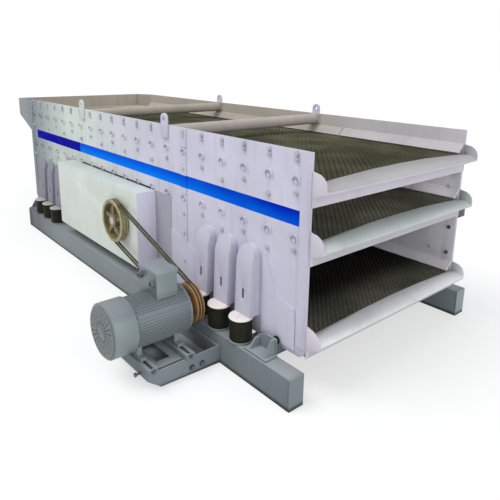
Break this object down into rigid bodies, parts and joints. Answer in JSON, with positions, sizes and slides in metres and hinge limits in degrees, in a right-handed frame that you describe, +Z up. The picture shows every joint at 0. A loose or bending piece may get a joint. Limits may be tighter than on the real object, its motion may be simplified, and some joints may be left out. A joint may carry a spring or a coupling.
{
  "type": "vibrating sieve",
  "caption": "Horizontal multi-deck vibrating screen on rubber springs: a box of crowned wire-mesh decks shaken by belt-driven, geared eccentric shafts, on a girder base.",
  "frame": {"origin": "on the floor plane, at the middle of the rectangle of foundation bolts, which is also the middle of the side plates' length and of the width", "axes": "+X along the screen from the feed end to the discharge end, +Y across it away from the drive side, +Z up"},
  "size_m": [5.348, 2.811, 1.6549],
  "materials": {
    "box_paint": "satin",
    "base_paint": "satin",
    "motor_paint": "satin",
    "feed_paint": "dusty",
    "chute_steel": "satin",
    "deck_paint": "matte",
    "wire_cloth": "dark oxide",
    "cap_paint": "gloss",
    "guard_paint": "satin",
    "housing_iron": "painted",
    "rubber": "matte",
    "belt_rubber": "matte",
    "dark_steel": "oiled",
    "gland_plastic": "matte",
    "shaft_steel": "ground",
    "fan_plastic": "matte",
    "motor_sheave_iron": "painted",
    "driven_sheave_iron": "painted",
    "gear_steel": "oiled"
  },
  "bodies": {
    "base": {"base_girders": "base_paint", "girder_ends": "base_paint", "base_cross_members": "base_paint", "foundation_lugs": "base_paint", "spring_seats": "base_paint", "rubber_springs": "rubber", "stop_brackets": "base_paint", "stop_buffers": "rubber", "motor_bracket": "base_paint", "slide_rails": "base_paint", "adjusting_screws": "dark_steel", "motor_frame": "motor_paint", "motor_cowl": "motor_paint", "terminal_box": "motor_paint", "cable_glands": "gland_plastic", "v_belts": "belt_rubber"},
    "rotor": {"motor_shaft": "shaft_steel", "motor_sheave": "motor_sheave_iron", "motor_fan": "fan_plastic"},
    "exciter_drive": {"drive_shaft": "shaft_steel", "drive_gear": "gear_steel", "drive_weights": "dark_steel", "driven_sheave": "driven_sheave_iron"},
    "exciter_mid": {"mid_shaft": "shaft_steel", "mid_gear": "gear_steel", "mid_weights": "dark_steel"},
    "exciter_idle": {"idle_shaft": "shaft_steel", "idle_gear": "gear_steel", "idle_weights": "dark_steel"},
    "screen_box": {"side_plate_drive": "box_paint", "side_plate_far": "box_paint", "plate_doublers": "box_paint", "top_deck_beams": "deck_paint", "mid_deck_beams": "deck_paint", "low_deck_beams": "deck_paint", "top_crown_rails": "deck_paint", "mid_crown_rails": "deck_paint", "low_crown_rails": "deck_paint", "top_mesh": "wire_cloth", "mid_mesh": "wire_cloth", "low_mesh": "wire_cloth", "tension_rails": "box_paint", "tension_hoods": "box_paint", "top_tubes": "box_paint", "lifting_lugs": "box_paint", "feed_box": "feed_paint", "top_chute": "chute_steel", "mid_chute": "chute_steel", "low_chute": "chute_steel", "spring_caps": "cap_paint", "spring_brackets": "box_paint", "exciter_tubes": "box_paint", "bearing_housings": "housing_iron", "drive_guard": "guard_paint", "far_guard": "guard_paint"}
  },
  "joints": [
    {"name": "bounce", "type": "slide", "parent": "base", "child": "screen_box", "axis": [0, 0, 1], "range_m": [-0.006, 0.006], "stiffness_N_per_m": 2400000, "springref_m": 0.03035, "deforming": ["rubber_springs", "v_belts"]},
    {"name": "exciter_spin", "type": "hinge", "parent": "screen_box", "child": "exciter_drive", "pos_m": [0.325, 0, 0.7], "axis": [0, 1, 0], "continuous": true},
    {"name": "mid_spin", "type": "hinge", "parent": "screen_box", "child": "exciter_mid", "pos_m": [-0.205, 0, 0.7], "axis": [0, 1, 0], "continuous": true},
    {"name": "idle_spin", "type": "hinge", "parent": "screen_box", "child": "exciter_idle", "pos_m": [-0.735, 0, 0.7], "axis": [0, 1, 0], "continuous": true},
    {"name": "motor_spin", "type": "hinge", "parent": "base", "child": "rotor", "pos_m": [1.474, -1.09, 0.366], "axis": [0, 1, 0], "continuous": true}
  ],
  "couplings": [
    {"joint": "mid_spin", "follows": "exciter_spin", "ratio": -1},
    {"joint": "idle_spin", "follows": "exciter_spin", "ratio": 1},
    {"joint": "motor_spin", "follows": "exciter_spin", "ratio": 1.2533}
  ]
}
